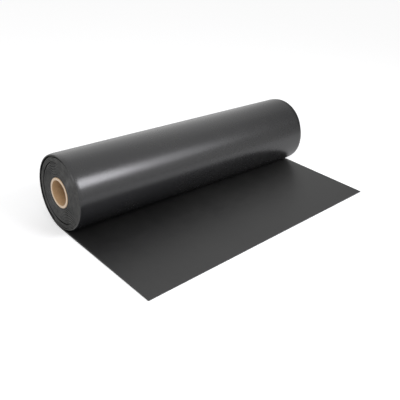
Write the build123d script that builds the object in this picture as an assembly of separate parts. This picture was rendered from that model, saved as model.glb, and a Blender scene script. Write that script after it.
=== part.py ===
from build123d import *
import os

# Roll of roofing felt, millimetres. The roll lies on the floor z = 0 with its axis along X.
# Seen from its -X end the sheet comes from the flat tail in front, passes under the roll,
# climbs the back, crosses the top and winds inwards. Turn 0 is the outermost.

# Sheet
sheet_width = 1000.0
sheet_thickness = 4.0
tail_length = 416.0

# Winding
turns = 15
winding_gap = 0.65
groove_depth = 3.0

# Core tube, as long as the sheet is wide and flush with the outermost turn
core_bore_radius = 38.0
core_wall = 7.5
core_clearance = 0.0

# Sideways drift towards +X, measured from the outermost turn: the turn inside it has slipped
# furthest, so it lies sunk between the edge and the rest of the coil at the -X end
sunk_drift = 6.0
coil_drift = 3.0
first_coil_turn = 2

# Worked out from the sizes above
pitch = sheet_thickness + winding_gap
core_radius = core_bore_radius + core_wall
coil_bore_radius = core_radius + core_clearance
roll_radius = coil_bore_radius + pitch * (turns - 0.5) + sheet_thickness
core_height = roll_radius + pitch / 2


def turn_drift(turn):
    """How far a turn lies towards +X from the outermost one."""
    if turn == 0:
        return 0.0
    return sunk_drift if turn < first_coil_turn else coil_drift


def coil_arc(half_turn, inset):
    """One half turn of the spiral: even ones climb the back, odd ones come down the front."""
    radius = roll_radius - half_turn * pitch / 2 - inset
    is_back = half_turn % 2 == 0
    centre = roll_radius if is_back else roll_radius + pitch / 2
    low, high = centre - radius, centre + radius
    if is_back:
        return ThreePointArc((0, low), (radius, centre), (0, high))
    return ThreePointArc((0, high), (-radius, centre), (0, low))


def coil_outline(turn, inset):
    """Everything inside one full turn of the spiral, closed by the short step at the bottom."""
    back = coil_arc(2 * turn, inset)
    front = coil_arc(2 * turn + 1, inset)
    return make_face([back, front, Line(front @ 1, back @ 0)])


def along_axis(section, start, end):
    """Extrude a section drawn as (y, z) along the roll's axis, from one x to another."""
    plane = Plane(origin=(start, 0, 0), x_dir=(0, 1, 0), z_dir=(1, 0, 0))
    return extrude(plane * section, amount=end - start)


def wound_turn(turn):
    """One turn of sheet across the roll, filled out to the turn that lies round it."""
    outside = coil_outline(turn - 1, sheet_thickness) if turn > 0 else coil_outline(0, 0)
    bore = Pos(0, core_height) * Circle(coil_bore_radius)
    inside = coil_outline(turn, sheet_thickness) if turn < turns - 1 else bore
    drift = turn_drift(turn)
    return along_axis(outside - inside, -sheet_width / 2 + drift, sheet_width / 2 + drift)


def gap_grooves(turn):
    """The gap between a turn and the next one in, open for a short way at both ends."""
    outer = [coil_arc(2 * turn, sheet_thickness), coil_arc(2 * turn + 1, sheet_thickness)]
    inner = [coil_arc(2 * turn, pitch), coil_arc(2 * turn + 1, pitch)]
    steps = [Line(outer[0] @ 0, inner[0] @ 0), Line(outer[1] @ 1, inner[1] @ 1)]
    gap = make_face(outer + inner + steps)
    less, more = sorted((turn_drift(turn), turn_drift(turn + 1)))
    return [
        along_axis(gap, -sheet_width / 2 + less, -sheet_width / 2 + more + groove_depth),
        along_axis(gap, sheet_width / 2 + less - groove_depth, sheet_width / 2 + more),
    ]


def tail():
    """The flat stretch of sheet that lies in front of the roll."""
    section = Polyline(
        (0, 0), (0, sheet_thickness), (-tail_length, sheet_thickness), (-tail_length, 0), close=True
    )
    return along_axis(make_face(section), -sheet_width / 2, sheet_width / 2)


def felt_sheet():
    """The wound sheet and its tail as one solid, with its turns cut into both ends."""
    wound = [wound_turn(turn) for turn in range(turns)]
    grooves = [groove for turn in range(turns - 1) for groove in gap_grooves(turn)]
    return tail() + wound - grooves


def core_tube():
    """The paper tube in the middle of the roll."""
    ring = Pos(0, core_height) * (Circle(core_radius) - Circle(core_bore_radius))
    return along_axis(ring, -sheet_width / 2, sheet_width / 2)


os.makedirs("parts", exist_ok=True)
export_step(felt_sheet(), "parts/felt_sheet.step")
export_step(core_tube(), "parts/core_tube.step")
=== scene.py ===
"""Roll of roofing felt: the wound sheet with its flat tail, and the paper tube that it is wound on."""

import logging
import math
from collections.abc import Mapping, Sequence
from dataclasses import dataclass, field
from enum import Enum
from typing import Union

import bpy
from mathutils import Matrix, Vector


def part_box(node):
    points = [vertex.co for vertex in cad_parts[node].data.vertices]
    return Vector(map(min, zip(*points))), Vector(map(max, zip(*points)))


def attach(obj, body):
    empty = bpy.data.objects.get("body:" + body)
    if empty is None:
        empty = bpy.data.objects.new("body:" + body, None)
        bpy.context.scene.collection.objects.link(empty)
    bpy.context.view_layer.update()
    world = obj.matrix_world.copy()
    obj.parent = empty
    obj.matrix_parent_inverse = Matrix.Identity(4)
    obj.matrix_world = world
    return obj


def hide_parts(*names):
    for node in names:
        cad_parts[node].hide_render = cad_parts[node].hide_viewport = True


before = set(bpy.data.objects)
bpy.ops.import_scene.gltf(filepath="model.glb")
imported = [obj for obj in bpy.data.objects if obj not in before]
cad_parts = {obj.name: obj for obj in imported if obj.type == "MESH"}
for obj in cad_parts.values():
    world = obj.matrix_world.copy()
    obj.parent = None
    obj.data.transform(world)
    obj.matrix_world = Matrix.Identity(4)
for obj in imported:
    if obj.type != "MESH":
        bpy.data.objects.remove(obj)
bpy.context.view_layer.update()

MILLIMETRE = 0.001
ROOT_BODY = "root"

log = logging.getLogger("felt_roll")

Number = Union[int, float]
Feed = Union["Value", bpy.types.NodeSocket, Number, Sequence[float], str, bool]


class Side(Enum):
    """The kinds of face that the sheet has."""

    OUTER = "outer"
    INNER = "inner"
    CUT = "cut"


class Move(Enum):
    """How a place moves points: to it, or by it."""

    TO = "Position"
    BY = "Offset"


@dataclass(frozen=True)
class Noise:
    """A fractal noise: its lumps for each metre, its finer layers, and how strong those are."""

    scale: float
    detail: float
    roughness: float = 0.6


class NodeMaker:
    """Adds nodes to one shader or geometry tree."""

    def __init__(self, tree: bpy.types.NodeTree) -> None:
        """Hold the tree that the nodes go into."""
        self.tree = tree

    def add(
        self,
        kind: str,
        settings: Mapping[str, object] | None = None,
        feeds: Mapping[str | int, Feed] | None = None,
    ) -> bpy.types.Node:
        """Add one node.

        Args:
            kind: The node's type name.
            settings: What is set on the node before its sockets.
            feeds: A value or a link for each input socket, by name or number.

        Returns:
            The new node.
        """
        node = self.tree.nodes.new(kind)
        for name, setting in (settings or {}).items():
            setattr(node, name, setting)
        for key, feed in (feeds or {}).items():
            self.feed(node.inputs[key], feed)
        return node

    def feed(self, socket: bpy.types.NodeSocket, feed: Feed) -> None:
        """Link or set one input socket.

        Args:
            socket: The input.
            feed: A wrapped socket, a socket, or a plain value.
        """
        source = feed.socket if isinstance(feed, Value) else feed
        if isinstance(source, bpy.types.NodeSocket):
            self.tree.links.new(source, socket)
        else:
            socket.default_value = source

    def value(
        self,
        kind: str,
        output: str | int,
        settings: Mapping[str, object] | None = None,
        feeds: Mapping[str | int, Feed] | None = None,
    ) -> "Value":
        """Add one node and wrap one of its outputs.

        Args:
            kind: The node's type name.
            output: Name or number of the output.
            settings: What is set on the node before its sockets.
            feeds: A value or a link for each input socket.

        Returns:
            The output as a value.
        """
        return Value(self, self.add(kind, settings, feeds).outputs[output])

    def noise(self, place: bpy.types.NodeSocket, noise: Noise) -> "Value":
        """Add a fractal noise over a place, from 0 to 1."""
        return self.value("ShaderNodeTexNoise", "Fac", None, {
            "Vector": place, "Scale": noise.scale, "Detail": noise.detail, "Roughness": noise.roughness,
        })

    def blend(self, factor: "Value", first: Feed, second: Feed) -> bpy.types.NodeSocket:
        """Mix two colours by a factor from 0 to 1."""
        return self.add(
            "ShaderNodeMix", {"data_type": "RGBA"}, {"Factor": factor, "A": first, "B": second}
        ).outputs["Result"]

    def join(self, x: Feed, y: Feed, z: Feed) -> bpy.types.NodeSocket:
        """Join three numbers into a place."""
        return self.add("ShaderNodeCombineXYZ", None, {"X": x, "Y": y, "Z": z}).outputs["Vector"]

    def split(self, vector: bpy.types.NodeSocket) -> tuple["Value", "Value", "Value"]:
        """Split a place or a direction into its three numbers."""
        node = self.add("ShaderNodeSeparateXYZ", None, {"Vector": vector})
        return Value(self, node.outputs["X"]), Value(self, node.outputs["Y"]), Value(self, node.outputs["Z"])


class Value:
    """A number that varies over a shape, held as the socket that gives it."""

    def __init__(self, maker: NodeMaker, socket: bpy.types.NodeSocket) -> None:
        """Wrap an output socket of the maker's tree."""
        self.maker = maker
        self.socket = socket

    def math(self, operation: str, *others: "Value | Number") -> "Value":
        """Put this value first in a Math node.

        Args:
            operation: The node's operation.
            others: The operands after this one.

        Returns:
            The node's result.
        """
        return maths(self.maker, operation, self, *others)

    def __add__(self, other: "Value | Number") -> "Value":
        """Sum."""
        return self.math("ADD", other)

    __radd__ = __add__

    def __sub__(self, other: "Value | Number") -> "Value":
        """Difference."""
        return self.math("SUBTRACT", other)

    def __rsub__(self, other: "Value | Number") -> "Value":
        """Difference from a plain number."""
        return maths(self.maker, "SUBTRACT", other, self)

    def __mul__(self, other: "Value | Number") -> "Value":
        """Product."""
        return self.math("MULTIPLY", other)

    __rmul__ = __mul__

    def __truediv__(self, other: "Value | Number") -> "Value":
        """Quotient."""
        return self.math("DIVIDE", other)

    def __rtruediv__(self, other: "Value | Number") -> "Value":
        """Quotient of a plain number."""
        return maths(self.maker, "DIVIDE", other, self)

    def __pow__(self, other: "Value | Number") -> "Value":
        """Power."""
        return self.math("POWER", other)

    def __mod__(self, other: "Value | Number") -> "Value":
        """Remainder, never negative."""
        return self.math("FLOORED_MODULO", other)

    def __abs__(self) -> "Value":
        """Size without sign."""
        return self.math("ABSOLUTE")

    def at_least(self, other: "Value | Number") -> "Value":
        """The larger of the two."""
        return self.math("MAXIMUM", other)

    def at_most(self, other: "Value | Number") -> "Value":
        """The smaller of the two."""
        return self.math("MINIMUM", other)

    def mixed(self, other: "Value", share: float) -> "Value":
        """This value by its share, and the other one by the rest."""
        return self * share + other * (1.0 - share)

    def reaches(self, count: "Value | Number") -> "Value":
        """1 where this whole number is the count or more, else 0."""
        return (self / (count - 0.5)).floor().at_most(1.0)

    def floor(self) -> "Value":
        """Whole part."""
        return self.math("FLOOR")

    def sin(self) -> "Value":
        """Sine of an angle in radians."""
        return self.math("SINE")

    def cos(self) -> "Value":
        """Cosine of an angle in radians."""
        return self.math("COSINE")

    def ramp(self, start: Number, end: Number, low: Number = 0.0, high: Number = 1.0) -> "Value":
        """Ease from one level to another between two values of this one.

        Args:
            start: Where the change begins.
            end: Where it is complete.
            low: The level before it.
            high: The level after it.

        Returns:
            The eased level.
        """
        if start > end:
            start, end, low, high = end, start, high, low
        return self.maker.value(
            "ShaderNodeMapRange", "Result", {"interpolation_type": "SMOOTHSTEP"},
            {"Value": self, "From Min": start, "From Max": end, "To Min": low, "To Max": high},
        )


def maths(maker: NodeMaker, operation: str, *operands: "Value | Number") -> Value:
    """Add a Math node.

    Args:
        maker: The maker of the tree.
        operation: The node's operation.
        operands: Its inputs, in order.

    Returns:
        The node's result.
    """
    return maker.value("ShaderNodeMath", 0, {"operation": operation}, dict(enumerate(operands)))


@dataclass(frozen=True)
class Surface:
    """How one face of the sheet looks: its colour, how it mirrors, and how smooth it is."""

    plain: tuple[float, float, float]
    dusty: tuple[float, float, float]
    roughness: float
    refraction: float


@dataclass(frozen=True)
class FeltFinish:
    """Smooth black bituminous sheet: glossy outside, duller inside, mottled where it is cut."""

    name: str = "black_felt"
    faces: Mapping[Side, Surface] = field(default_factory=lambda: {
        Side.OUTER: Surface((0.003, 0.003, 0.004), (0.007, 0.007, 0.007), 0.27, 1.65),
        Side.INNER: Surface((0.006, 0.006, 0.006), (0.013, 0.013, 0.012), 0.48, 1.6),
        Side.CUT: Surface((0.009, 0.009, 0.008), (0.048, 0.048, 0.044), 0.55, 1.5),
    })
    cut_slope: tuple[float, float] = (0.55, 0.85)
    cloud: Noise = Noise(3.0, 4.0)
    scuff: Noise = Noise(38.0, 6.0)
    blot: Noise = Noise(55.0, 3.0)
    grain: Noise = Noise(900.0, 2.0)
    cloud_in_dust: float = 0.6
    dust_range: tuple[float, float] = (0.35, 0.75)
    blot_in_mottle: float = 0.7
    mottle_range: tuple[float, float] = (0.35, 0.65)
    cloud_unevenness: float = 0.08
    scuff_unevenness: float = 0.06
    grain_height: float = 0.02 * MILLIMETRE
    grain_strength: float = 0.12

    def build(self) -> bpy.types.Material:
        """Make the material.

        Returns:
            The material, on Object coordinates and the sheet's own side attribute.
        """
        material = bpy.data.materials.new(self.name)
        material.use_nodes = True
        nodes = material.node_tree.nodes
        nodes.remove(nodes["Principled BSDF"])
        maker = NodeMaker(material.node_tree)
        where = maker.add("ShaderNodeTexCoord")
        place = where.outputs["Object"]
        faces_along, _, _ = maker.split(where.outputs["Normal"])
        is_cut = abs(faces_along).ramp(*self.cut_slope)
        side = maker.value("ShaderNodeAttribute", "Fac", {"attribute_name": "inner_side"})
        cloud = maker.noise(place, self.cloud)
        scuff = maker.noise(place, self.scuff)
        bump = maker.add("ShaderNodeBump", None, {
            "Strength": self.grain_strength,
            "Distance": self.grain_height,
            "Height": maker.noise(place, self.grain),
        }).outputs["Normal"]
        dust = cloud.mixed(scuff, self.cloud_in_dust).ramp(*self.dust_range)
        uneven = (cloud - 0.5) * self.cloud_unevenness + (scuff - 0.5) * self.scuff_unevenness
        mottle = maker.noise(place, self.blot).mixed(scuff, self.blot_in_mottle).ramp(*self.mottle_range)
        outer = self._face(maker, self.faces[Side.OUTER], dust, uneven, bump)
        inner = self._face(maker, self.faces[Side.INNER], dust, uneven, bump)
        cut = self._face(maker, self.faces[Side.CUT], mottle, uneven, bump)
        sides = maker.add("ShaderNodeMixShader", None, {"Fac": side, 1: outer, 2: inner}).outputs[0]
        whole = maker.add("ShaderNodeMixShader", None, {"Fac": is_cut, 1: sides, 2: cut}).outputs[0]
        maker.feed(nodes["Material Output"].inputs["Surface"], whole)
        return material

    @staticmethod
    def _face(
        maker: NodeMaker, surface: Surface, dust: Value, uneven: Value, bump: bpy.types.NodeSocket
    ) -> bpy.types.NodeSocket:
        """Make the shader of one face.

        Args:
            maker: The maker of the material's tree.
            surface: How the face looks.
            dust: How dusty the sheet is, from 0 to 1.
            uneven: What to add to the roughness.
            bump: The fine grain.

        Returns:
            The shader.
        """
        return maker.add("ShaderNodeBsdfPrincipled", None, {
            "Base Color": maker.blend(dust, (*surface.plain, 1.0), (*surface.dusty, 1.0)),
            "Roughness": uneven + surface.roughness,
            "IOR": surface.refraction,
            "Normal": bump,
        }).outputs["BSDF"]


@dataclass(frozen=True)
class CoreFinish:
    """Kraft paper tube: a helical seam, painted light on the wall by its ends, fine plies on paler rims."""

    name: str = "kraft_core"
    dark: tuple[float, float, float] = (0.24, 0.135, 0.052)
    light: tuple[float, float, float] = (0.72, 0.49, 0.28)
    rim: tuple[float, float, float] = (0.72, 0.58, 0.44)
    roughness: float = 0.85
    fibre: Noise = Noise(260.0, 5.0, 0.7)
    blotch: Noise = Noise(22.0, 3.0, 0.5)
    fibre_in_mottle: float = 0.5
    mottle_range: tuple[float, float] = (0.3, 0.7)
    mottle_in_wall_tone: float = 0.4
    # How far into the bore, from each end, the painted light on the wall reaches.
    painted_light_reach: float = 70.0 * MILLIMETRE
    paper_width: float = 110.0 * MILLIMETRE
    seam_share: float = 0.014
    seam_darkness: float = 0.9
    ply_width: float = 0.9 * MILLIMETRE
    ply_line_share: float = 0.3
    ply_line_darkness: float = 0.35
    rim_fibre_darkness: float = 0.15
    rim_start: float = 0.6 * MILLIMETRE
    rim_end: float = 0.15 * MILLIMETRE
    relief_height: float = 0.12 * MILLIMETRE
    relief_strength: float = 0.8
    fibre_relief: float = 0.4
    seam_relief: float = 0.8
    ply_relief: float = 0.6

    def build(
        self, axis_height: float, half_length: float, middle: float, bore_radius: float
    ) -> bpy.types.Material:
        """Make the material.

        Args:
            axis_height: Height of the tube's axis.
            half_length: Half the tube's length.
            middle: Where along X its middle is.
            bore_radius: Radius of the bore.

        Returns:
            The material, on Object coordinates.
        """
        material = bpy.data.materials.new(self.name)
        material.use_nodes = True
        maker = NodeMaker(material.node_tree)
        shader = material.node_tree.nodes["Principled BSDF"]
        place = maker.add("ShaderNodeTexCoord").outputs["Object"]
        centred = maker.add(
            "ShaderNodeMapping", {"vector_type": "POINT"},
            {"Vector": place, "Location": (-middle, 0.0, -axis_height)},
        ).outputs["Vector"]
        along, back, up = maker.split(centred)
        radius = (back * back + up * up) ** 0.5
        angle = up.math("ARCTAN2", back)
        fibre = maker.noise(place, self.fibre)
        helix = (along / self.paper_width + angle / math.tau) % 1.0
        seam = helix.ramp(0.0, self.seam_share, 1.0, 0.0)
        ply = ((radius - bore_radius) / self.ply_width) % 1.0
        ply_line = ply.ramp(0.0, self.ply_line_share, 1.0, 0.0)
        is_rim = abs(along).ramp(half_length - self.rim_start, half_length - self.rim_end)
        # Painted light and shade: the wall is paler towards each end of the tube and darker deeper in,
        # standing in for the light that reaches into the bore; the mottle and the seam are the paper's own.
        painted_light_near_ends = ((abs(along) - half_length) / self.painted_light_reach + 1.0).at_least(0.0)
        mottle = fibre.mixed(maker.noise(place, self.blotch), self.fibre_in_mottle).ramp(*self.mottle_range)
        wall_tone_and_painted_light = mottle.mixed(painted_light_near_ends * painted_light_near_ends, self.mottle_in_wall_tone) * (1.0 - seam * self.seam_darkness)
        rim_shade = ply_line * self.ply_line_darkness + fibre * self.rim_fibre_darkness
        wall_colour = maker.blend(wall_tone_and_painted_light, (*self.dark, 1.0), (*self.light, 1.0))
        rim_colour = maker.blend(rim_shade, (*self.rim, 1.0), (*self.dark, 1.0))
        maker.feed(shader.inputs["Base Color"], maker.blend(is_rim, wall_colour, rim_colour))
        shader.inputs["Roughness"].default_value = self.roughness
        relief = fibre * self.fibre_relief - seam * self.seam_relief - ply_line * is_rim * self.ply_relief
        bump = maker.add("ShaderNodeBump", None, {
            "Strength": self.relief_strength, "Distance": self.relief_height, "Height": relief,
        })
        maker.feed(shader.inputs["Normal"], bump.outputs["Normal"])
        return material


@dataclass
class ShapeTree:
    """A Geometry Nodes tree with named inputs that makes one piece and hands back a plain mesh."""

    name: str
    tree: bpy.types.NodeTree = field(init=False)
    maker: NodeMaker = field(init=False)
    inputs: bpy.types.Node = field(init=False)
    sizes: dict[str, Number] = field(default_factory=dict)

    def __post_init__(self) -> None:
        """Start the tree with its inputs and its output."""
        self.tree = bpy.data.node_groups.new(self.name, "GeometryNodeTree")
        self.maker = NodeMaker(self.tree)
        for name, size in self.sizes.items():
            kind = "NodeSocketInt" if isinstance(size, int) else "NodeSocketFloat"
            self.tree.interface.new_socket(name, in_out="INPUT", socket_type=kind)
        self.tree.interface.new_socket("Finish", in_out="INPUT", socket_type="NodeSocketMaterial")
        self.tree.interface.new_socket("Geometry", in_out="OUTPUT", socket_type="NodeSocketGeometry")
        self.inputs = self.tree.nodes.new("NodeGroupInput")

    def size(self, name: str) -> Value:
        """The named input as a value."""
        return Value(self.maker, self.inputs.outputs[name])

    def kept(self, name: str) -> Value:
        """The number kept on each point under a name."""
        return self.maker.value(
            "GeometryNodeInputNamedAttribute", "Attribute", {"data_type": "FLOAT"}, {"Name": name}
        )

    def place(self) -> tuple[Value, Value, Value]:
        """Where each point is, as its three numbers."""
        return self.maker.split(self.maker.add("GeometryNodeInputPosition").outputs["Position"])

    def thread(
        self, count: Value, place: bpy.types.NodeSocket, keep: Mapping[str, Value] | None = None
    ) -> bpy.types.NodeSocket:
        """Run a curve through places that are worked out from each point's number.

        Args:
            count: How many points it has.
            place: Where each point goes.
            keep: What is kept on each point, by name.

        Returns:
            The open curve.
        """
        maker = self.maker
        line = maker.add("GeometryNodeMeshLine", {"mode": "OFFSET"}, {"Count": count}).outputs["Mesh"]
        geometry = self.moved(line, Move.TO, place)
        for name, number in (keep or {}).items():
            geometry = maker.add(
                "GeometryNodeStoreNamedAttribute", {"data_type": "FLOAT", "domain": "POINT"},
                {"Geometry": geometry, "Name": name, "Value": number},
            ).outputs["Geometry"]
        return maker.add("GeometryNodeMeshToCurve", None, {"Mesh": geometry}).outputs["Curve"]

    def moved(
        self, geometry: bpy.types.NodeSocket, how: Move, place: bpy.types.NodeSocket
    ) -> bpy.types.NodeSocket:
        """Move each point to a place or by it."""
        return self.maker.add(
            "GeometryNodeSetPosition", None, {"Geometry": geometry, how.value: place}
        ).outputs["Geometry"]

    def closed(self, curve: bpy.types.NodeSocket) -> bpy.types.NodeSocket:
        """Join the last point of a curve to its first."""
        return self.maker.add(
            "GeometryNodeSetSplineCyclic", None, {"Geometry": curve, "Cyclic": True}
        ).outputs["Geometry"]

    def swept(self, curve: bpy.types.NodeSocket, section: bpy.types.NodeSocket) -> bpy.types.NodeSocket:
        """Sweep a section along a curve, with its ends filled."""
        return self.maker.add(
            "GeometryNodeCurveToMesh", None, {"Curve": curve, "Profile Curve": section, "Fill Caps": True}
        ).outputs["Mesh"]

    def end(self, geometry: bpy.types.NodeSocket) -> None:
        """Close the tree: realize, give the finish, and send it out.

        Args:
            geometry: The shape so far.
        """
        real = self.maker.add("GeometryNodeRealizeInstances", None, {"Geometry": geometry})
        smooth = self.maker.add("GeometryNodeSetShadeSmooth", None, {"Geometry": real.outputs["Geometry"]})
        dressed = self.maker.add(
            "GeometryNodeSetMaterial", None,
            {"Geometry": smooth.outputs["Geometry"], "Material": self.inputs.outputs["Finish"]},
        )
        out = self.tree.nodes.new("NodeGroupOutput")
        self.maker.feed(out.inputs["Geometry"], dressed.outputs["Geometry"])

    def mesh_piece(self, piece: str, finish: bpy.types.Material, crease: float) -> bpy.types.Object:
        """Run the tree once and keep its result as a plain mesh object.

        Args:
            piece: Name of the new object.
            finish: Its material.
            crease: Angle between faces, in degrees, above which an edge stays sharp.

        Returns:
            The new object, at the origin, with no modifier.
        """
        carrier = bpy.data.objects.new(piece + "_carrier", bpy.data.meshes.new(piece + "_start"))
        bpy.context.scene.collection.objects.link(carrier)
        modifier = carrier.modifiers.new(self.name, "NODES")
        modifier.node_group = self.tree
        for item in self.tree.interface.items_tree:
            if item.item_type == "SOCKET" and item.in_out == "INPUT":
                modifier[item.identifier] = finish if item.name == "Finish" else self.sizes[item.name]
        graph = bpy.context.evaluated_depsgraph_get()
        graph.update()
        mesh = bpy.data.meshes.new_from_object(
            carrier.evaluated_get(graph), preserve_all_data_layers=True, depsgraph=graph
        )
        bpy.data.objects.remove(carrier)
        mesh.name = piece
        mesh.set_sharp_from_angle(angle=math.radians(crease))
        made = bpy.data.objects.new(piece, mesh)
        bpy.context.scene.collection.objects.link(made)
        return made


@dataclass
class FeltSheet:
    """The one sheet: its flat tail, and its turns round the core, which drift sideways inwards.

    Turns are numbered inwards from 0, where the sheet meets the floor under the roll. Names that end in
    turns, rise, fall, from or to are in turns, and lift_level is in thicknesses. The wander and waves_around
    have their lumps for each turn, and waves_along for each metre.
    """

    thickness: float = 4.0 * MILLIMETRE
    turns: int = 15
    steps_per_half_turn: int = 40
    tail_steps: int = 60
    curl_steps: int = 6
    width_steps: int = 8
    edge_radius: float = 1.2 * MILLIMETRE
    edge_share: float = 0.5
    sunk_drift: float = 5.5 * MILLIMETRE
    coil_drift: float = 1.6 * MILLIMETRE
    sunk_turns: tuple[tuple[float, float], ...] = ((1.0, 1.6), (4.85, 5.4))
    drifting_turns: float = 0.12
    edge_wander: float = 0.5 * MILLIMETRE
    wander_rate: float = 3.1
    wander_detail: float = 2.0
    wandering_turns: float = 0.3
    near_lean: float = 2.1 * MILLIMETRE
    edge_curl: float = 2.0 * MILLIMETRE
    curl_width: float = 13.0 * MILLIMETRE
    curl_power: float = 1.5
    curled_turns: float = 4.0
    fading_turns: float = 0.1
    belly: float = 15.0 * MILLIMETRE
    belly_rise: tuple[float, float] = (0.68, 0.88)
    belly_fall: tuple[float, float] = (0.92, 1.02)
    waviness: float = 0.35 * MILLIMETRE
    waves_along: float = 3.0
    waves_around: float = 5.0
    wave_detail: float = 1.0
    wound_from: tuple[float, float] = (-0.001, 0.001)
    lifted_from: tuple[float, float] = (0.5, 0.51)
    lifted_to: tuple[float, float] = (0.985, 0.999)
    lift_level: float = 1.6
    crease_angle: float = 35.0
    roll_radius: float = field(init=False)
    pitch: float = field(init=False)
    width: float = field(init=False)
    tail_length: float = field(init=False)

    def __post_init__(self) -> None:
        """Read the roll's size from the frame."""
        low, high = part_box("felt_sheet")
        core_low, core_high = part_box("core_tube")
        core_radius = (core_high.y - core_low.y) / 2
        self.roll_radius = high.z / 2
        self.pitch = (self.roll_radius - self.thickness - core_radius) / (self.turns - 0.5)
        self.width = -2 * low.x
        self.tail_length = -low.y

    def build(self, finish: FeltFinish) -> bpy.types.Object:
        """Make the sheet.

        Args:
            finish: The felt's finish.

        Returns:
            The sheet's object.
        """
        shape = ShapeTree("felt_sheet_shape", sizes={
            "Turns": self.turns,
            "Steps Per Half Turn": self.steps_per_half_turn,
            "Tail Steps": self.tail_steps,
            "Curl Steps": self.curl_steps,
            "Width Steps": self.width_steps,
            "Curl Width": self.curl_width,
            "Roll Radius": self.roll_radius,
            "Pitch": self.pitch,
            "Thickness": self.thickness,
            "Width": self.width,
            "Tail Length": self.tail_length,
            "Sunk Drift": self.sunk_drift,
            "Coil Drift": self.coil_drift,
            "Edge Wander": self.edge_wander,
            "Edge Curl": self.edge_curl,
            "Near Lean": self.near_lean,
            "Belly": self.belly,
            "Waviness": self.waviness,
        })
        shape.end(self._settled(shape, shape.swept(self._path(shape), self._section(shape))))
        sheet = shape.mesh_piece("felt_roll", finish.build(), self.crease_angle)
        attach(sheet, ROOT_BODY)
        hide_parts("felt_sheet")
        return sheet

    def _path(self, shape: ShapeTree) -> bpy.types.NodeSocket:
        """The line that the middle of the sheet follows: along the tail, then round and inwards.

        Args:
            shape: The tree and its inputs.

        Returns:
            The curve, with the turn number and its own place stored on each point.
        """
        maker, size = shape.maker, shape.size
        count = size("Tail Steps") + size("Turns") * size("Steps Per Half Turn") * 2 + 1
        index = maker.value("GeometryNodeInputIndex", "Index")
        tail_share = (index / size("Tail Steps")).at_most(1.0)
        half_turns = ((index - size("Tail Steps")) / size("Steps Per Half Turn")).at_least(0.0)
        half = half_turns.floor()
        is_front = half % 2.0
        side = 1.0 - is_front * 2.0
        angle = (half_turns - half) * math.pi
        radius = size("Roll Radius") - half * size("Pitch") / 2 - size("Thickness") / 2
        centre = size("Roll Radius") + is_front * size("Pitch") / 2
        y = side * radius * angle.sin() - size("Tail Length") * (1.0 - tail_share)
        z = centre - side * radius * angle.cos()
        turn = half_turns / 2 - (1.0 - tail_share)
        curve = shape.thread(count, maker.join(0.0, y, z), {"turn": turn, "path_y": y, "path_z": z})
        return maker.add(
            "GeometryNodeSetCurveNormal", {"mode": "FREE"}, {"Curve": curve, "Normal": (1.0, 0.0, 0.0)}
        ).outputs["Curve"]

    def _section(self, shape: ShapeTree) -> bpy.types.NodeSocket:
        """Outline of the sheet cut across: close points at its eased edges, wide ones between.

        Args:
            shape: The tree and its inputs.

        Returns:
            The closed outline, with its side of the sheet stored on each point.
        """
        maker, size = shape.maker, shape.size
        half_steps = size("Curl Steps") + size("Width Steps")
        per_side = half_steps * 2 + 1
        index = maker.value("GeometryNodeInputIndex", "Index")
        is_second = index.reaches(per_side)
        step = index - is_second * per_side
        from_end = step.at_most(half_steps * 2 - step)
        in_curl = (from_end / size("Curl Steps")).at_most(1.0)
        beyond = ((from_end - size("Curl Steps")) / size("Width Steps")).at_least(0.0)
        to_edge = in_curl * in_curl * size("Curl Width")
        to_edge = to_edge + beyond * beyond * (size("Width") / 2 - size("Curl Width"))
        near_end = (half_steps - step).math("SIGN")
        direction = 1.0 - is_second * 2.0
        x = (to_edge - size("Width") / 2) * near_end * direction
        ease = ((to_edge / self.edge_radius).at_most(1.0) ** 0.5) * (1.0 - self.edge_share) + self.edge_share
        y = size("Thickness") / 2 * ease * direction
        return shape.closed(shape.thread(per_side * 2, maker.join(x, y, 0.0), {"inner_side": is_second}))

    def _settled(self, shape: ShapeTree, straight: bpy.types.NodeSocket) -> bpy.types.NodeSocket:
        """Let the turns drift, curl the outer edges, slacken the outermost turn and keep it off the tail.

        Args:
            shape: The tree and its inputs.
            straight: The sheet with straight edges.

        Returns:
            The sheet as it lies.
        """
        maker, size = shape.maker, shape.size
        turn, path_y, path_z = shape.kept("turn"), shape.kept("path_y"), shape.kept("path_z")
        x, _, _ = shape.place()
        share = x / size("Width") + 0.5
        rise = path_z - size("Roll Radius")
        distance = (path_y * path_y + rise * rise) ** 0.5
        out_y, out_z = path_y / distance, rise / distance
        is_wound = turn.ramp(*self.wound_from)
        is_outer = turn.ramp(1.0, 1.0 + self.fading_turns, 1.0, 0.0) * is_wound
        lean = ((rise + path_y) / size("Roll Radius")).at_least(0.0) * (1.0 - share)
        drift = (self._drift(shape, turn) + size("Near Lean") * lean) * is_wound
        outward = self._slack(shape, turn, x, share) * is_outer - self._curl(shape, turn, x)
        too_low = (size("Thickness") * self.lift_level - (path_z + outward * out_z)).at_least(0.0)
        lift = too_low * turn.ramp(*self.lifted_from) * turn.ramp(*self.lifted_to, 1.0, 0.0)
        move = maker.join(drift, outward * out_y, outward * out_z + lift)
        return shape.moved(straight, Move.BY, move)

    def _drift(self, shape: ShapeTree, turn: Value) -> Value:
        """How far along the roll a turn has slipped from the outermost one.

        Args:
            shape: The tree and its inputs.
            turn: The turn number of each point.

        Returns:
            The drift, with sunk turns and a small wander of the edge.
        """
        maker, size = shape.maker, shape.size
        drift = size("Coil Drift") * turn.ramp(1.0, 1.0 + self.drifting_turns)
        for first, last in self.sunk_turns:
            begun = turn.ramp(first, first + self.drifting_turns)
            unfinished = turn.ramp(last, last + self.drifting_turns, 1.0, 0.0)
            drift = drift + (size("Sunk Drift") - size("Coil Drift")) * (begun * unfinished)
        wander = maker.value(
            "ShaderNodeTexNoise", "Fac", {"noise_dimensions": "1D"},
            {"W": turn * self.wander_rate, "Scale": 1.0, "Detail": self.wander_detail},
        ) - 0.5
        return drift + size("Edge Wander") * wander * 2.0 * turn.ramp(1.0, 1.0 + self.wandering_turns)

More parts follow.
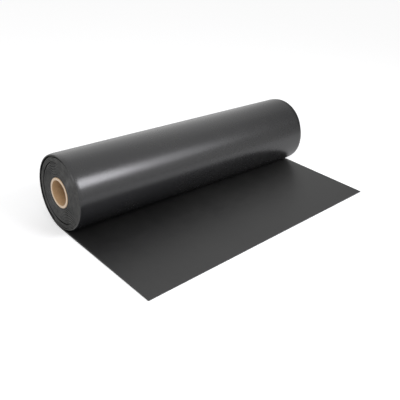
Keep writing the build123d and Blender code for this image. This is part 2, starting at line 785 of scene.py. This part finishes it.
    def _slack(self, shape: ShapeTree, turn: Value, x: Value, share: Value) -> Value:
        """How far the outermost turn stands off the roll.

        Args:
            shape: The tree and its inputs.
            turn: The turn number of each point.
            x: Where along the roll a point is.
            share: The same, from 0 at the near end to 1 at the far end.

        Returns:
            The belly at the far end, less the shallow waves.
        """
        maker, size = shape.maker, shape.size
        belly = size("Belly") * share * turn.ramp(*self.belly_rise) * turn.ramp(*self.belly_fall, 1.0, 0.0)
        wave = maker.value("ShaderNodeTexNoise", "Fac", {"noise_dimensions": "2D"}, {
            "Vector": maker.join(x * self.waves_along, turn * self.waves_around, 0.0),
            "Scale": 1.0,
            "Detail": self.wave_detail,
        })
        return belly - wave * size("Waviness")

    def _curl(self, shape: ShapeTree, turn: Value, x: Value) -> Value:
        """How far the edges of the outer turns bend in towards the axis.

        Args:
            shape: The tree and its inputs.
            turn: The turn number of each point.
            x: Where along the roll a point is.

        Returns:
            The bend, largest at the very edge.
        """
        size = shape.size
        near_edge = 1.0 - ((size("Width") / 2 - abs(x)) / size("Curl Width")).at_most(1.0)
        begun = turn.ramp(0.0, self.fading_turns)
        unfinished = turn.ramp(1.0, 1.0 + self.curled_turns, 1.0, 0.0)
        return size("Edge Curl") * (begun * unfinished) * near_edge ** self.curl_power


@dataclass
class CoreTube:
    """The paper tube: its wall, with eased rims, turned round a wide hub and drawn in to the axis."""

    wall: float = 7.5 * MILLIMETRE
    rim_ease: float = 0.6 * MILLIMETRE
    end_inset: float = 0.5 * MILLIMETRE
    around_steps: int = 128
    length_steps: int = 40
    end_crowding: float = 4.0
    hub_radius: float = 1.0
    crease_angle: float = 50.0
    axis_height: float = field(init=False)
    outer_radius: float = field(init=False)
    middle: float = field(init=False)
    half_length: float = field(init=False)

    def __post_init__(self) -> None:
        """Read the tube's size from the frame."""
        low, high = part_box("core_tube")
        self.outer_radius = (high.y - low.y) / 2
        self.axis_height = low.z + self.outer_radius
        self.middle = (low.x + high.x) / 2
        self.half_length = (high.x - low.x) / 2 - self.end_inset

    def build(self, finish: CoreFinish) -> bpy.types.Object:
        """Make the tube.

        Args:
            finish: The paper's finish.

        Returns:
            The tube's object.
        """
        shape = ShapeTree("core_tube_shape", sizes={
            "Around Steps": self.around_steps,
            "Length Steps": self.length_steps,
            "Outer Radius": self.outer_radius,
            "Wall": self.wall,
            "Half Length": self.half_length,
            "Rim Ease": self.rim_ease,
            "Middle": self.middle,
            "Axis Height": self.axis_height,
        })
        shape.end(self._turned(shape, self._section(shape)))
        tube = shape.mesh_piece(
            "paper_core",
            finish.build(self.axis_height, self.half_length, self.middle, self.outer_radius - self.wall),
            self.crease_angle,
        )
        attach(tube, ROOT_BODY)
        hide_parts("core_tube")
        return tube

    def _section(self, shape: ShapeTree) -> bpy.types.NodeSocket:
        """Outline of the wall cut lengthways, with close points at its eased rims.

        Args:
            shape: The tree and its inputs.

        Returns:
            The closed outline, radius along X and length along Y.
        """
        maker, size = shape.maker, shape.size
        per_side = size("Length Steps")
        index = maker.value("GeometryNodeInputIndex", "Index")
        is_bore = index.reaches(per_side)
        share = (index - is_bore * per_side) / (per_side - 1.0)
        to_end = (share.at_most(1.0 - share) * 2.0) ** self.end_crowding * size("Half Length")
        along = (size("Half Length") - to_end) * (share - 0.5).math("SIGN") * (1.0 - is_bore * 2.0)
        ease = (1.0 - to_end / size("Rim Ease")).at_least(0.0) * size("Rim Ease")
        radius = size("Outer Radius") - is_bore * size("Wall") + ease * (is_bore * 2.0 - 1.0)
        return shape.closed(shape.thread(per_side * 2, maker.join(radius, along, 0.0)))

    def _turned(self, shape: ShapeTree, section: bpy.types.NodeSocket) -> bpy.types.NodeSocket:
        """Turn the section round the axis.

        Args:
            shape: The tree and its inputs.
            section: The wall cut lengthways, radius along X and length along Y.

        Returns:
            The closed ring in its place.
        """
        maker, size = shape.maker, shape.size
        hub = maker.add(
            "GeometryNodeCurvePrimitiveCircle", {"mode": "RADIUS"},
            {"Resolution": size("Around Steps"), "Radius": self.hub_radius},
        ).outputs["Curve"]
        over, up, along = shape.place()
        reach = (over * over + up * up) ** 0.5
        radius = abs(reach - self.hub_radius)
        place = maker.join(
            along + size("Middle"), over / reach * radius, up / reach * radius + size("Axis Height")
        )
        return shape.moved(shape.swept(hub, section), Move.TO, place)


@dataclass(frozen=True)
class SoftLamp:
    """A rectangular lamp: where it hangs, its size, its power and its colour."""

    name: str
    place: tuple[float, float, float]
    size: tuple[float, float]
    power: float
    colour: tuple[float, float, float] = (0.95, 0.95, 1.0)

    def build(self, aim: Sequence[float]) -> None:
        """Hang the lamp.

        Args:
            aim: The point that it faces.
        """
        light = bpy.data.lights.new(self.name, "AREA")
        light.shape = "RECTANGLE"
        light.size, light.size_y = self.size
        light.energy = self.power
        light.color = self.colour
        lamp = bpy.data.objects.new(self.name, light)
        bpy.context.scene.collection.objects.link(lamp)
        lamp.location = self.place
        lamp.rotation_mode = "QUATERNION"
        lamp.rotation_quaternion = (Vector(aim) - Vector(self.place)).to_track_quat("-Z", "Y")


@dataclass
class Studio:
    """White floor and sky, two soft lamps to the viewer's right and one to the left, and the camera."""

    floor_radius: float = 14.0
    floor_points: int = 96
    floor_white: float = 0.8
    floor_glow: float = 0.34
    floor_glow_mirrored: float = 0.05
    sky_on_object: float = 0.76
    sky_wall: float = 1.25
    sky_wall_top: float = 0.745
    sky_wall_blur: float = 0.02
    sky_wall_foot: tuple[float, float] = (-0.1, 0.1)
    sky_far: float = 0.14
    sky_far_range: tuple[float, float] = (0.68, 0.85)
    lamps: tuple[SoftLamp, ...] = (
        SoftLamp("key_lamp", (0.41, -1.63, 1.42), (0.85, 0.76), 20.0),
        SoftLamp("side_lamp", (1.12, -1.55, 1.23), (0.8, 0.75), 3.6),
        SoftLamp("fill_lamp", (-2.2, -1.2, 2.2), (1.2, 1.2), 14.0),
    )
    lamp_aim: tuple[float, float, float] = (-0.3, 0.0, 0.15)
    camera_place: tuple[float, float, float] = (-1.137, -1.1731, 0.837)
    camera_yaw: float = -46.106
    camera_pitch: float = 28.709
    camera_roll: float = 5.325
    camera_lens: float = 46.051

    def build(self) -> None:
        """Set out the floor, the sky, the lamps and the camera."""
        self._floor()
        self._sky()
        for lamp in self.lamps:
            lamp.build(self.lamp_aim)
        self._camera()
        bpy.context.scene.view_settings.view_transform = "Standard"

    def _floor(self) -> None:
        """A pale floor that is white to the eye where nothing shades it."""
        corners = [
            (self.floor_radius * math.cos(math.tau * i / self.floor_points),
             self.floor_radius * math.sin(math.tau * i / self.floor_points), 0.0)
            for i in range(self.floor_points)
        ]
        mesh = bpy.data.meshes.new("studio_floor")
        mesh.from_pydata(corners, [], [tuple(range(self.floor_points))])
        floor = bpy.data.objects.new("studio_floor", mesh)
        bpy.context.scene.collection.objects.link(floor)
        material = bpy.data.materials.new("studio_white")
        material.use_nodes = True
        nodes = material.node_tree.nodes
        nodes.remove(nodes["Principled BSDF"])
        maker = NodeMaker(material.node_tree)
        camera, glossy, through = self._rays(maker)
        plain = maker.add("ShaderNodeBsdfDiffuse", None, {"Color": (self.floor_white,) * 3 + (1.0,)})
        glow = maker.add("ShaderNodeEmission", None, {
            "Color": (1.0, 1.0, 1.0, 1.0),
            "Strength": (camera + through) * self.floor_glow + glossy * self.floor_glow_mirrored,
        })
        both = maker.add("ShaderNodeAddShader", None, {0: plain.outputs[0], 1: glow.outputs[0]})
        maker.feed(nodes["Material Output"].inputs["Surface"], both.outputs[0])
        mesh.materials.append(material)

    def _sky(self) -> None:
        """White to the eye; mirrored, a brighter wall behind the roll and a dimmer far right."""
        world = bpy.data.worlds.new("studio_sky")
        bpy.context.scene.world = world
        world.use_nodes = True
        maker = NodeMaker(world.node_tree)
        sky = world.node_tree.nodes["Background"]
        sky.inputs["Color"].default_value = (1.0, 1.0, 1.0, 1.0)
        right, back, up = maker.split(maker.add("ShaderNodeTexCoord").outputs["Object"])
        below_top = up.ramp(self.sky_wall_top + self.sky_wall_blur, self.sky_wall_top - self.sky_wall_blur)
        wall = below_top * back.ramp(*self.sky_wall_foot)
        mirrored = (1.0 + wall * (self.sky_wall - 1.0)) * right.ramp(*self.sky_far_range, 1.0, self.sky_far)
        camera, glossy, through = self._rays(maker)
        seen = camera + through
        strength = seen + glossy * mirrored + (1.0 - seen - glossy).at_least(0.0) * self.sky_on_object
        maker.feed(sky.inputs["Strength"], strength)

    @staticmethod
    def _rays(maker: NodeMaker) -> tuple[Value, Value, Value]:
        """Tell the rays apart.

        Args:
            maker: The maker of the floor's or the world's tree.

        Returns:
            Whether a ray comes from the camera, a mirror or a pane, each as 1 or 0.
        """
        rays = maker.add("ShaderNodeLightPath")
        camera, glossy, through = (
            Value(maker, rays.outputs[f"Is {kind} Ray"]) for kind in ("Camera", "Glossy", "Transmission")
        )
        return camera, glossy, through

    def _camera(self) -> None:
        """The camera at the photograph's place and angle."""
        data = bpy.data.cameras.new("camera")
        data.lens = self.camera_lens
        camera = bpy.data.objects.new("camera", data)
        bpy.context.scene.collection.objects.link(camera)
        camera.matrix_world = (
            Matrix.Translation(self.camera_place)
            @ Matrix.Rotation(math.radians(self.camera_yaw), 4, "Z")
            @ Matrix.Rotation(math.radians(90.0 - self.camera_pitch), 4, "X")
            @ Matrix.Rotation(math.radians(self.camera_roll), 4, "Z")
        )
        bpy.context.scene.camera = camera


def main() -> None:
    """Build the studio and the roll, and report each piece."""
    logging.basicConfig(level=logging.INFO, format="%(name)s: %(message)s")
    Studio().build()
    for piece in (FeltSheet().build(FeltFinish()), CoreTube().build(CoreFinish())):
        log.info("%s: %d points, %d faces", piece.name, len(piece.data.vertices), len(piece.data.polygons))


if __name__ == "__main__":
    main()
